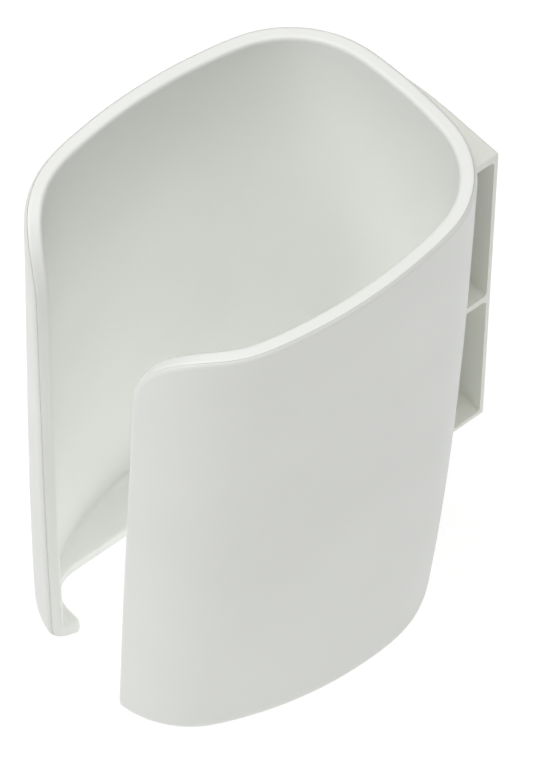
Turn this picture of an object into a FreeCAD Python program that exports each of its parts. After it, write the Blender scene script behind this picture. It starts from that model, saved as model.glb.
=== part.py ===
"""Open-fronted bottle holder: a tapered double-skin shell with a stand-off bracket behind it.

Frame: +Z up, the slot faces -Y, the bracket is at +Y, and the shell is symmetric about X = 0.
The origin is on the floor, under the middle of the whole holder. Sizes are in millimetres.
"""
import FreeCAD, Part
import math
import os
import Sketcher
from FreeCAD import Vector

# Driving dimensions: alias, value, meaning. Turns and angles are in degrees.
SIZES = [
    ("overall_height", 222.0, "floor to rim"),
    ("wall", 6.4, "whole wall, both skins and the gap between them"),
    ("outer_skin", 1.1, "outer shell, from its face to the seam"),
    ("liner_skin", 2.2, "thin part of the liner"),
    ("seam_gap", 0.12, "clearance between the outer shell and the liner"),
    ("taper_bias", 0.53, "share of the taper that grows with the square of the depth"),
    ("top_back_face", 74.0, "back of the shell at the rim"),
    ("top_back_radius", 201.0, "rim outline, back"),
    ("top_corner_radius", 43.0, "rim outline, back corner"),
    ("top_side_radius", 192.0, "rim outline, side"),
    ("top_front_radius", 48.8, "rim outline, front"),
    ("top_back_turn", 6.2, "rim outline, back"),
    ("top_corner_turn", 71.7, "rim outline, back corner"),
    ("top_side_turn", 24.4, "rim outline, side"),
    ("top_front_turn", 57.9, "rim outline, front"),
    ("low_back_face", 57.0, "back of the shell at the floor"),
    ("low_back_radius", 345.0, "floor outline, back"),
    ("low_corner_radius", 50.0, "floor outline, back corner"),
    ("low_side_radius", 143.0, "floor outline, side"),
    ("low_front_radius", 40.2, "floor outline, front"),
    ("low_back_turn", 3.1, "floor outline, back"),
    ("low_corner_turn", 83.4, "floor outline, back corner"),
    ("low_side_turn", 30.5, "floor outline, side"),
    ("low_front_turn", 54.6, "floor outline, front"),
    ("rim_outer_round", 2.0, "outer edge of the rim and the slot"),
    ("rim_inner_round", 1.6, "inner edge of the rim and the slot"),
    ("base_round", 7.4, "outer edge of the floor"),
    ("cove_round", 2.5, "inner corner of wall and floor"),
    ("floor_depth", 6.4, "floor thickness"),
    ("hole_half_width", 39.4, "opening in the floor"),
    ("hole_front", -72.6, "front edge of the opening"),
    ("hole_back", 36.0, "back edge of the opening"),
    ("hole_corner", 14.0, "corner of the opening"),
    ("slot_face", -77.7, "plane in which the slot's widths are given"),
    ("slot_top_half", 27.8, "half the slot's width at the rim"),
    ("slot_low_half", 17.4, "half the slot's width at the floor"),
    ("slot_splay", 20.0, "how far the slot's sides turn out from straight ahead"),
    ("slot_corner", 30.0, "round corner between rim and slot"),
    ("slot_tip_round", 2.5, "where the slot meets the opening in the floor"),
    ("liner_flange", 3.0, "solid edge of the liner at rim, slot and floor"),
    ("bracket_rear", 87.0, "rear face of the bracket's plate"),
    ("bracket_right", 30.8, "right-hand end of plate and ribs"),
    ("bracket_left", -29.0, "left-hand end of plate and ribs"),
    ("bracket_bend", 5.0, "where the plate starts to curve in"),
    ("bracket_curve", 165.0, "radius of the plate's curved part, rear face"),
    ("bracket_front", 40.0, "front of the ribs before they are trimmed to the shell"),
    ("bracket_low", 49.2, "underside of the lowest rib"),
    ("bracket_top", 201.8, "top of the highest rib"),
    ("bracket_middle", 121.0, "middle of the middle rib"),
    ("plate_depth", 2.4, "plate thickness"),
    ("rib_depth", 3.0, "rib thickness"),
    ("bracket_round", 1.2, "outer edges of plate and ribs"),
    ("bracket_fillet", 2.0, "inner corner of plate and rib"),
]
OVERRUN = 20.0  # how far a cutting shape reaches past what it cuts
SLOT_OVERLAP = 8.0  # how far each half of the slot reaches past the middle
ARC_STEPS = (3, 7, 7, 6, 4)  # points on each arc of the outline, from the back to the front
LOFT_DEPTHS = (1.0, 0.75, 0.5, 0.25, 0.0)  # where the outlines of the hull are drawn
LEVEL = 0.01  # edges this close to a plane lie in it
NEARLY = 0.6  # how far a rounded or curved edge may be from where it is looked for
MARGIN = 1.0  # keeps a search for edges clear of the next edge
LONG_EDGE = 10.0  # edges shorter than this belong to rounded ends


def make_sheet(doc):
    """The driving dimensions as a spreadsheet, and the same values by name."""
    sheet = doc.addObject("Spreadsheet::Sheet", "sizes")
    for row, (alias, value, meaning) in enumerate(SIZES, start=1):
        sheet.set("A%d" % row, meaning)
        sheet.set("B%d" % row, str(value))
        sheet.setAlias("B%d" % row, alias)
    doc.recompute()
    return sheet


def outline_arcs(sheet, share):
    """Right half of the outline as tangent arcs, from the back centre round to the front centre.

    share is 0 at the rim and 1 at the floor. Each arc is (centre, radius, heading, turn), where
    heading 0 faces +Y and grows towards +X. The last arc closes the outline on the centre plane.
    """
    names = ("back", "corner", "side", "front")

    def mix(kind, name):
        at_rim = getattr(sheet, "top_%s_%s" % (name, kind))
        at_floor = getattr(sheet, "low_%s_%s" % (name, kind))
        return (1 - share) * at_rim + share * at_floor
    arcs = []
    place = Vector(0, mix("face", "back"), 0)
    heading = 0.0
    for name in names:
        radius = mix("radius", name)
        turn = math.radians(mix("turn", name))
        arcs.append(arc_from(place, radius, heading, turn))
        heading += turn
        place = on_arc(arcs[-1], radius, 1.0)
    last_turn = math.pi - heading
    arcs.append(arc_from(place, place.x / math.sin(last_turn), heading, last_turn))
    return arcs


def arc_from(start, radius, heading, turn):
    facing = Vector(math.sin(heading), math.cos(heading), 0)
    return (start - facing * radius, radius, heading, turn)


def on_arc(arc, radius, part):
    """Point a share of the way along an arc, at the given radius from its centre."""
    centre, _, heading, turn = arc
    angle = heading + turn * part
    return centre + Vector(math.sin(angle), math.cos(angle), 0) * radius


def ring(sheet, depth, inset):
    """Closed outline at a depth below the rim (0 to 1), moved in from the outer face."""
    share = (1 - sheet.taper_bias) * depth + sheet.taper_bias * depth ** 2
    arcs = outline_arcs(sheet, share)
    half = []
    for arc, count in zip(arcs, ARC_STEPS):
        half += [on_arc(arc, arc[1] - inset, step / count) for step in range(count)]
    front = on_arc(arcs[-1], arcs[-1][1] - inset, 1.0)
    left = [Vector(-point.x, point.y, 0) for point in half[1:]]
    points = [front] + left[::-1] + half
    lift = Vector(0, 0, sheet.overall_height * (1 - depth))
    curve = Part.BSplineCurve()
    curve.interpolate([point + lift for point in points], PeriodicFlag=True)
    return Part.Wire([curve.toShape()])


def hull(sheet, inset):
    """Solid of the tapered outline, moved in from the outer face."""
    return Part.makeLoft([ring(sheet, depth, inset) for depth in LOFT_DEPTHS], True, False)


def box_between(low, high):
    return Part.makeBox(high.x - low.x, high.y - low.y, high.z - low.z, low)


def slab(sheet, low, high):
    """A box much wider than the holder between two heights."""
    reach = sheet.overall_height
    return box_between(Vector(-reach, -reach, low), Vector(reach, reach, high))


def edges_at(shape, height):
    """Edges that lie in a horizontal plane, longest first."""
    flat = [edge for edge in shape.Edges
            if abs(edge.BoundBox.ZMin - height) < LEVEL and abs(edge.BoundBox.ZMax - height) < LEVEL]
    return sorted(flat, key=lambda edge: -edge.Length)


def round_floor(shape, height, radius):
    """Round the lower edge of a hull that ends at a height."""
    return shape.makeFillet(radius, edges_at(shape, height)[:1])


def hollow(sheet, inset, floor, radius):
    """The space inside the hull above a floor, with a rounded lower edge."""
    space = hull(sheet, inset).common(slab(sheet, floor, sheet.overall_height))
    return round_floor(space, floor, radius)


def floor_opening(sheet):
    block = box_between(Vector(-sheet.hole_half_width, sheet.hole_front, -OVERRUN),
                        Vector(sheet.hole_half_width, sheet.hole_back, OVERRUN))
    upright = [edge for edge in block.Edges if edge.BoundBox.ZLength > OVERRUN]
    return block.makeFillet(sheet.hole_corner, upright)


def slot_half(sheet, grow):
    """Space of the right half of the slot, made wider by a margin all round."""
    top = sheet.overall_height - grow
    lean = (sheet.slot_top_half - sheet.slot_low_half) / sheet.overall_height
    tilt = math.atan(lean)
    radius = sheet.slot_corner - grow
    low_half = sheet.slot_low_half + grow / math.cos(tilt)
    centre = Vector(low_half + lean * (top - radius) + radius / math.cos(tilt), 0, top - radius)
    around = lambda angle: centre + Vector(math.cos(angle), 0, math.sin(angle)) * radius
    side_end = math.pi - tilt
    foot = Vector(low_half - lean * OVERRUN, 0, -OVERRUN)
    shoulder = around(math.pi / 2)
    sky = sheet.overall_height + OVERRUN
    edges = [
        Part.LineSegment(foot, around(side_end)),
        Part.Arc(around(side_end), around((side_end + math.pi / 2) / 2), shoulder),
        Part.LineSegment(shoulder, Vector(shoulder.x, 0, sky)),
        Part.LineSegment(Vector(shoulder.x, 0, sky), Vector(-SLOT_OVERLAP, 0, sky)),
        Part.LineSegment(Vector(-SLOT_OVERLAP, 0, sky), Vector(-SLOT_OVERLAP, 0, -OVERRUN)),
        Part.LineSegment(Vector(-SLOT_OVERLAP, 0, -OVERRUN), foot),
    ]
    face = Part.Face(Part.Wire([edge.toShape() for edge in edges]))
    splay = math.radians(sheet.slot_splay)
    ahead = Vector(math.sin(splay), -math.cos(splay), 0)
    face.translate(Vector(0, sheet.slot_face, 0) - ahead * 2 * OVERRUN)
    return face.extrude(ahead * 4 * OVERRUN)


def slot_space(sheet, grow=0.0):
    right = slot_half(sheet, grow)
    return right.fuse(right.mirror(Vector(0, 0, 0), Vector(1, 0, 0)))


def whole_wall(sheet):
    """Both skins as one rounded wall, which is then divided along the seam."""
    wall = round_floor(hull(sheet, 0.0), 0.0, sheet.base_round)
    wall = wall.cut(hollow(sheet, sheet.wall, sheet.floor_depth, sheet.cove_round))
    wall = wall.cut(floor_opening(sheet)).cut(slot_space(sheet))
    tips = [edge for edge in wall.Edges
            if abs(edge.BoundBox.YMax - sheet.hole_front) < LEVEL
            and abs(edge.BoundBox.ZLength - sheet.floor_depth) < LEVEL
            and abs(edge.BoundBox.XMax) < sheet.hole_half_width - sheet.hole_corner - MARGIN]
    wall = wall.makeFillet(sheet.slot_tip_round, tips)
    wall = wall.makeFillet(sheet.rim_outer_round, edges_at(wall, sheet.overall_height)[:1])
    inner_back = sheet.top_back_face - sheet.wall
    inner_rim = [edge for edge in edges_at(wall, sheet.overall_height)
                 if abs(edge.BoundBox.YMax - inner_back) < NEARLY]
    return wall.makeFillet(sheet.rim_inner_round, inner_rim[:1])


def outer_shell(sheet, wall):
    """The outer skin: everything outside the seam, with the underside of the floor."""
    inset = sheet.outer_skin
    seam = hollow(sheet, inset, inset, sheet.base_round - inset)
    return wall.cut(seam)


def inner_liner(sheet, wall):
    """The inner skin, with solid flanges at the rim, the slot and the floor."""
    inset = sheet.outer_skin + sheet.seam_gap
    liner = wall.common(hollow(sheet, inset, inset, sheet.base_round - inset))
    air = hull(sheet, inset / 2).cut(hull(sheet, sheet.wall - sheet.liner_skin))
    floor_top = sheet.floor_depth + sheet.cove_round
    air = air.common(slab(sheet, floor_top, sheet.overall_height - sheet.liner_flange))
    return liner.cut(air.cut(slot_space(sheet, sheet.liner_flange)))


def add_shape(doc, label, shape):
    item = doc.addObject("Part::Feature", label)
    item.Shape = shape
    return item


def plan_sketch(body, name, height, rear, curve, right, left):
    """Plan of the bracket: a plate line that curves in on the left, closed at the front.

    Every argument after the name is an expression in the sheet's cells.
    """
    sketch = body.newObject("Sketcher::SketchObject", name)
    plane = [item for item in body.Origin.OriginFeatures if item.Role == "XY_Plane"][0]
    sketch.AttachmentSupport = [(plane, "")]
    sketch.MapMode = "FlatFace"
    sketch.setExpression("AttachmentOffset.Base.z", height)
    corners = [Vector(30, 40, 0), Vector(30, 85, 0), Vector(5, 85, 0), Vector(-29, 82, 0),
               Vector(-29, 40, 0)]
    sketch.addGeometry(Part.LineSegment(corners[0], corners[1]))
    sketch.addGeometry(Part.LineSegment(corners[1], corners[2]))
    sketch.addGeometry(Part.Arc(corners[2], Vector(-12, 84.2, 0), corners[3]))
    sketch.addGeometry(Part.LineSegment(corners[3], corners[4]))
    sketch.addGeometry(Part.LineSegment(corners[4], corners[0]))
    bend_end, bend_start = arc_ends(sketch.Geometry[2], corners[2])
    rules = [
        Sketcher.Constraint("Coincident", 0, 2, 1, 1),
        Sketcher.Constraint("Tangent", 1, 2, 2, bend_start),
        Sketcher.Constraint("Coincident", 2, bend_end, 3, 1),
        Sketcher.Constraint("Coincident", 3, 2, 4, 1),
        Sketcher.Constraint("Coincident", 4, 2, 0, 1),
        Sketcher.Constraint("Vertical", 0),
        Sketcher.Constraint("Horizontal", 1),
        Sketcher.Constraint("Vertical", 3),
        Sketcher.Constraint("Horizontal", 4),
    ]
    for rule in rules:
        sketch.addConstraint(rule)
    bind(sketch, Sketcher.Constraint("DistanceX", -1, 1, 0, 2, 30.0), right)
    bind(sketch, Sketcher.Constraint("DistanceY", -1, 1, 0, 2, 85.0), rear)
    bind(sketch, Sketcher.Constraint("DistanceX", -1, 1, 1, 2, 5.0), "sizes.bracket_bend")
    bind(sketch, Sketcher.Constraint("Radius", 2, 165.0), curve)
    bind(sketch, Sketcher.Constraint("DistanceX", 3, 1, -1, 1, 29.0), left)
    bind(sketch, Sketcher.Constraint("DistanceY", -1, 1, 4, 1, 40.0), "sizes.bracket_front")
    return sketch


def arc_ends(arc, start):
    """Which ends of an arc, 1 or 2, are its far end and the end at the start point."""
    near = 1 if arc.StartPoint.distanceToPoint(start) < arc.EndPoint.distanceToPoint(start) else 2
    return 3 - near, near


def bind(sketch, rule, expression):
    """Add a dimension to a sketch and tie it to the sheet."""
    index = sketch.addConstraint(rule)
    sketch.setExpression("Constraints[%d]" % index, expression)


def rear_bracket(doc, sheet, shell_outside):
    """Plate on three ribs, with a bay above and below the middle rib open at both ends."""
    body = doc.addObject("PartDesign::Body", "bracket_blank")
    plan = plan_sketch(body, "bracket_plan", "sizes.bracket_low", "sizes.bracket_rear",
                       "sizes.bracket_curve", "sizes.bracket_right", "-sizes.bracket_left")
    block = body.newObject("PartDesign::Pad", "bracket_block")
    block.Profile = plan
    block.setExpression("Length", "sizes.bracket_top - sizes.bracket_low")
    doc.recompute()
    rounded = body.newObject("PartDesign::Fillet", "bracket_edges")
    rounded.Base = (block, rear_edges(block.Shape, sheet))
    rounded.setExpression("Radius", "sizes.bracket_round")
    doc.recompute()
    bays = (("lower", "sizes.bracket_low + sizes.rib_depth",
             "sizes.bracket_middle - sizes.bracket_low - 1.5 * sizes.rib_depth"),
            ("upper", "sizes.bracket_middle + 0.5 * sizes.rib_depth",
             "sizes.bracket_top - sizes.bracket_middle - 1.5 * sizes.rib_depth"))
    for name, height, depth in bays:
        sketch = plan_sketch(body, name + "_bay_plan", height,
                             "sizes.bracket_rear - sizes.plate_depth",
                             "sizes.bracket_curve - sizes.plate_depth",
                             "sizes.bracket_right + 5", "5 - sizes.bracket_left")
        bay = body.newObject("PartDesign::Pocket", name + "_bay")
        bay.Profile = sketch
        bay.Reversed = True
        bay.setExpression("Length", depth)
        doc.recompute()
    filled = body.newObject("PartDesign::Fillet", "bracket_corners")
    filled.Base = (bay, inner_corners(bay.Shape, sheet))
    filled.setExpression("Radius", "sizes.bracket_fillet")
    doc.recompute()
    trimmed = doc.addObject("Part::Cut", "rear_bracket")
    trimmed.Base = body
    trimmed.Tool = shell_outside
    doc.recompute()
    return trimmed


def edge_names(shape, wanted):
    return ["Edge%d" % number for number, edge in enumerate(shape.Edges, start=1) if wanted(edge)]


def rear_edges(shape, sheet):
    """All edges of the block but those of its front face."""
    return edge_names(shape, lambda edge: edge.BoundBox.YMax > sheet.bracket_front + MARGIN)


def inner_corners(shape, sheet):
    """Long level edges where the plate meets a rib, inside a bay."""
    heights = [sheet.bracket_low + sheet.rib_depth,
               sheet.bracket_middle - 0.5 * sheet.rib_depth,
               sheet.bracket_middle + 0.5 * sheet.rib_depth,
               sheet.bracket_top - sheet.rib_depth]
    inside = sheet.bracket_rear - sheet.plate_depth

    def wanted(edge):
        box = edge.BoundBox
        level = any(abs(box.ZMin - height) < LEVEL and abs(box.ZMax - height) < LEVEL
                    for height in heights)
        return level and abs(box.YMax - inside) < NEARLY and box.XLength > LONG_EDGE
    return edge_names(shape, wanted)


def export(item, folder):
    shape = item.Shape
    if shape.isNull() or not shape.isValid():
        raise RuntimeError(item.Label + " has no valid shape")
    if any(flag in item.State for flag in ("Invalid", "Error")):
        raise RuntimeError(item.Label + " failed to recompute")
    shape.exportStep(os.path.join(folder, item.Label + ".step"))
    print(item.Label, round(shape.Volume / 1000.0, 1), "cm3,", len(shape.Solids), "solid")


def main():
    doc = FreeCAD.newDocument("bottle_holder")
    sheet = make_sheet(doc)
    wall = whole_wall(sheet)
    shell = add_shape(doc, "outer_shell", outer_shell(sheet, wall))
    liner = add_shape(doc, "inner_liner", inner_liner(sheet, wall))
    outside = add_shape(doc, "shell_outside", hull(sheet, 0.0))
    bracket = rear_bracket(doc, sheet, outside)
    for item in doc.Objects:
        if "Invalid" in item.State or "Error" in item.State:
            raise RuntimeError(item.Label + " failed to recompute")
    os.makedirs("parts", exist_ok=True)
    for item in (shell, liner, bracket):
        export(item, "parts")


if __name__ == "__main__":
    main()
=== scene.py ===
"""Looks, floor, light and camera for the urine bottle holder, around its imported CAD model."""

import math

import bpy
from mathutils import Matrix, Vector

# Camera: the point it looks at, its angles and its distance, in metres and degrees.
TARGET = Vector((-0.0024, 0.0067, 0.101))
AZIMUTH = 49.8
ELEVATION = 52.65
DISTANCE = 1.72675
CLIP_NEAR = 0.05
CLIP_FAR = 30.0

# Focal length and sensor width in millimetres.
LENS = 219.37
SENSOR = 36.0

# Linear colours of the mouldings: clean white plastic with a slight green-grey tint. The liner and
# the bracket carry painted light: their whites are lighter than the shell's.
SHELL_WHITE = (0.848, 0.862, 0.826)
# Painted light: the liner's white is lighter than the shell's, to brighten the inside of the holder.
LINER_WHITE_PAINTED_LIGHTER = (0.920, 0.932, 0.900)
# Painted light: the bracket's white is lighter still, to lift the shade in the bays between its ribs.
BRACKET_WHITE_PAINTED_LIGHTER = (0.905, 0.918, 0.850)

# Surface of the shell and liner, and the duller surface of the bracket.
SATIN_ROUGHNESS = 0.42
SATIN_GRAIN = 0.35
DULL_ROUGHNESS = 0.48
DULL_GRAIN = 0.45
PLASTIC_IOR = 1.49

# Noise of the plastic: how many features it has to the metre, and how much detail in each.
FLOW_SCALE = 14.0
FLOW_DETAIL = 2.0
PATCH_SCALE = 60.0
PATCH_DETAIL = 3.0
COARSE_SCALE = 240.0
FINE_SCALE = 1900.0
GRAIN_DETAIL = 2.0

# The middle part of a noise's range, where nearly all of its values lie.
NOISE_LOW = 0.3
NOISE_HIGH = 0.7

# How far colour and roughness vary, and how high the grain stands, in metres.
TINT_DARKEST = 0.975
TINT_LIGHTEST = 1.015
GLOSS_BELOW = 0.04
GLOSS_ABOVE = 0.05
FINE_HEIGHT = 0.00004
COARSE_HEIGHT = 0.00005

# Floor: its width, how far it lies under the holder to avoid touching faces, and its paper.
FLOOR_SIZE = 8.0
FLOOR_DROP = 0.0002
FLOOR_COLOUR = (0.30, 0.30, 0.30, 1.0)
FLOOR_ROUGHNESS = 0.9
FLOOR_EMISSION = 0.79

# Sky: its strength at the horizon and overhead, and how closely it gathers overhead.
SKY_LOW = 0.05
SKY_HIGH = 2.35
SKY_FOCUS = 5.0

# Small light in the opening of the holder's floor, facing up. Metres and watts.
GLOW_WIDTH = 0.070
GLOW_DEPTH = 0.090
GLOW_PLACE = (0.0, -0.018, 0.001)
GLOW_POWER = 0.006

# Softboxes: where each one stands, the point it faces, and its power. Metres and watts.
SOFTBOX_SIZE = 0.8
FRONT_PLACE = (-0.35, -1.05, 1.25)
FRONT_AIM = (0.0, 0.05, 0.12)
FRONT_POWER = 6.6
SIDE_PLACE = (1.25, -0.15, 1.55)
SIDE_AIM = (0.0, 0.0, 0.12)
SIDE_POWER = 2.0

WHITE = (1.0, 1.0, 1.0, 1.0)


def node(tree, kind, x, y, **settings):
    """Adds a shader node and sets its properties."""
    made = tree.nodes.new(kind)
    made.location = (x, y)
    for name, value in settings.items():
        setattr(made, name, value)
    return made


def noise(tree, place, scale, detail, x, y):
    """Solid noise in metres, so that its grain has a real size on every piece."""
    made = node(tree, "ShaderNodeTexNoise", x, y)
    made.inputs["Scale"].default_value = scale
    made.inputs["Detail"].default_value = detail
    tree.links.new(place.outputs["Object"], made.inputs["Vector"])
    return made


def spread(tree, source, low, high, x, y):
    """Maps the middle of a noise onto a range."""
    made = node(tree, "ShaderNodeMapRange", x, y)
    made.inputs["From Min"].default_value = NOISE_LOW
    made.inputs["From Max"].default_value = NOISE_HIGH
    made.inputs["To Min"].default_value = low
    made.inputs["To Max"].default_value = high
    tree.links.new(source.outputs["Fac"], made.inputs["Value"])
    return made


def bump(tree, source, strength, height, x, y):
    """Turns a noise into relief of a given height."""
    made = node(tree, "ShaderNodeBump", x, y)
    made.inputs["Strength"].default_value = strength
    made.inputs["Distance"].default_value = height
    tree.links.new(source.outputs["Fac"], made.inputs["Height"])
    return made


def vary_colour(tree, place, shader, colour):
    """Faint flow marks in the colour."""
    flow = noise(tree, place, FLOW_SCALE, FLOW_DETAIL, -1150, 300)
    shade = spread(tree, flow, 0.0, 1.0, -900, 300)
    tint = node(tree, "ShaderNodeMix", -650, 300, data_type="RGBA")
    tint.inputs["A"].default_value = (*[TINT_DARKEST * part for part in colour], 1.0)
    tint.inputs["B"].default_value = (*[min(1.0, TINT_LIGHTEST * part) for part in colour], 1.0)
    tree.links.new(shade.outputs["Result"], tint.inputs["Factor"])
    tree.links.new(tint.outputs["Result"], shader.inputs["Base Color"])


def vary_gloss(tree, place, shader, rough):
    """Slightly uneven gloss, in patches."""
    patch = noise(tree, place, PATCH_SCALE, PATCH_DETAIL, -1150, 0)
    gloss = spread(tree, patch, rough - GLOSS_BELOW, rough + GLOSS_ABOVE, -900, 0)
    tree.links.new(gloss.outputs["Result"], shader.inputs["Roughness"])


def add_grain(tree, place, shader, strength):
    """Spark-eroded grain of the mould: a fine relief on top of a coarser one."""
    fine = noise(tree, place, FINE_SCALE, GRAIN_DETAIL, -1150, -300)
    coarse = noise(tree, place, COARSE_SCALE, GRAIN_DETAIL, -1150, -550)
    sparks = bump(tree, fine, strength, FINE_HEIGHT, -600, -300)
    waves = bump(tree, coarse, strength, COARSE_HEIGHT, -350, -450)
    tree.links.new(sparks.outputs["Normal"], waves.inputs["Normal"])
    tree.links.new(waves.outputs["Normal"], shader.inputs["Normal"])


def moulded_plastic(name, colour, rough, grain):
    """Moulded plastic with faint flow marks, slightly uneven gloss and a fine grain."""
    made = bpy.data.materials.new(name)
    made.use_nodes = True
    tree = made.node_tree
    shader = tree.nodes["Principled BSDF"]
    shader.inputs["IOR"].default_value = PLASTIC_IOR
    place = node(tree, "ShaderNodeTexCoord", -1400, 0)
    vary_colour(tree, place, shader, colour)
    vary_gloss(tree, place, shader, rough)
    add_grain(tree, place, shader, grain)
    return made


def dress(piece, material):
    """Gives every slot of a CAD node one material."""
    if not piece.material_slots:
        piece.data.materials.append(material)
    for slot in piece.material_slots:
        slot.material = material


def floor_paper():
    """Bright matt paper, which gives a little light of its own."""
    made = bpy.data.materials.new("floor_paper")
    made.use_nodes = True
    shader = made.node_tree.nodes["Principled BSDF"]
    shader.inputs["Base Color"].default_value = FLOOR_COLOUR
    shader.inputs["Roughness"].default_value = FLOOR_ROUGHNESS
    shader.inputs["Emission Color"].default_value = WHITE
    shader.inputs["Emission Strength"].default_value = FLOOR_EMISSION
    return made


def make_floor():
    """A square of paper that the holder stands on."""
    mesh = bpy.data.meshes.new("floor")
    half = FLOOR_SIZE / 2
    corners = [(-half, -half, 0), (half, -half, 0), (half, half, 0), (-half, half, 0)]
    mesh.from_pydata(corners, [], [(0, 1, 2, 3)])
    mesh.materials.append(floor_paper())
    floor = bpy.data.objects.new("floor", mesh)
    floor.location.z = -FLOOR_DROP
    bpy.context.scene.collection.objects.link(floor)


def make_sky():
    """A white surround that is brighter overhead than at the sides, like a light tent."""
    world = bpy.data.worlds.new("light_tent")
    world.use_nodes = True
    tree = world.node_tree
    back = tree.nodes["Background"]
    back.inputs["Color"].default_value = WHITE
    place = node(tree, "ShaderNodeTexCoord", -800, 0)
    split = node(tree, "ShaderNodeSeparateXYZ", -600, 0)
    rise = node(tree, "ShaderNodeMath", -450, 0, operation="POWER", use_clamp=True)
    rise.inputs[1].default_value = SKY_FOCUS
    ramp = node(tree, "ShaderNodeMapRange", -250, 0)
    ramp.inputs["To Min"].default_value = SKY_LOW
    ramp.inputs["To Max"].default_value = SKY_HIGH
    tree.links.new(place.outputs["Generated"], split.inputs["Vector"])
    tree.links.new(split.outputs["Z"], rise.inputs[0])
    tree.links.new(rise.outputs[0], ramp.inputs["Value"])
    tree.links.new(ramp.outputs["Result"], back.inputs["Strength"])
    bpy.context.scene.world = world


def add_area_light(name, place, width, depth, power):
    """Adds a rectangular light that the camera doesn't see."""
    data = bpy.data.lights.new(name, "AREA")
    data.shape = "RECTANGLE"
    data.size = width
    data.size_y = depth
    data.energy = power
    lamp = bpy.data.objects.new(name, data)
    lamp.location = place
    lamp.visible_camera = False
    bpy.context.scene.collection.objects.link(lamp)
    return lamp


def add_floor_glow():
    """Light that the bright floor sends up through the opening in the holder's floor."""
    lamp = add_area_light("floor_glow", GLOW_PLACE, GLOW_WIDTH, GLOW_DEPTH, GLOW_POWER)
    lamp.rotation_euler = (math.pi, 0.0, 0.0)


def add_softbox(name, place, aim, power):
    """A square softbox, turned towards the point it is aimed at."""
    lamp = add_area_light(name, place, SOFTBOX_SIZE, SOFTBOX_SIZE, power)
    lamp.rotation_mode = "QUATERNION"
    lamp.rotation_quaternion = (Vector(aim) - Vector(place)).to_track_quat("-Z", "Y")


def make_camera():
    """A long lens that looks down on the holder from its front right."""
    turn = math.radians(AZIMUTH)
    rise = math.radians(ELEVATION)
    back = Vector((math.sin(turn) * math.cos(rise), -math.cos(turn) * math.cos(rise), math.sin(rise)))
    data = bpy.data.cameras.new("camera")
    data.lens = LENS
    data.sensor_width = SENSOR
    data.clip_start = CLIP_NEAR
    data.clip_end = CLIP_FAR
    camera = bpy.data.objects.new("camera", data)
    camera.rotation_mode = "QUATERNION"
    camera.location = TARGET + back * DISTANCE
    camera.rotation_quaternion = (-back).to_track_quat("-Z", "Y")
    bpy.context.scene.collection.objects.link(camera)
    bpy.context.scene.camera = camera


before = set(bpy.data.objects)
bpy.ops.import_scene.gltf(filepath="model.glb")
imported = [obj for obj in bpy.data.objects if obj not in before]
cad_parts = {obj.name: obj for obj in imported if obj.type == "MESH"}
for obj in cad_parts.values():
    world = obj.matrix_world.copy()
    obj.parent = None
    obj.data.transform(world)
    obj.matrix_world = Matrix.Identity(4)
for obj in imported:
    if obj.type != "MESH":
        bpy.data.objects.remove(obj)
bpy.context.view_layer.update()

make_camera()
make_floor()
make_sky()
add_floor_glow()
add_softbox("front_softbox", FRONT_PLACE, FRONT_AIM, FRONT_POWER)
add_softbox("side_softbox", SIDE_PLACE, SIDE_AIM, SIDE_POWER)
bpy.context.scene.view_settings.view_transform = "Standard"
bpy.context.scene.view_settings.look = "None"

shell_plastic = moulded_plastic("shell_plastic", SHELL_WHITE, SATIN_ROUGHNESS, SATIN_GRAIN)
liner_plastic = moulded_plastic("liner_plastic", LINER_WHITE_PAINTED_LIGHTER, SATIN_ROUGHNESS, SATIN_GRAIN)
bracket_plastic = moulded_plastic("bracket_plastic", BRACKET_WHITE_PAINTED_LIGHTER, DULL_ROUGHNESS, DULL_GRAIN)
dress(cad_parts["outer_shell"], shell_plastic)
dress(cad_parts["inner_liner"], liner_plastic)
dress(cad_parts["rear_bracket"], bracket_plastic)
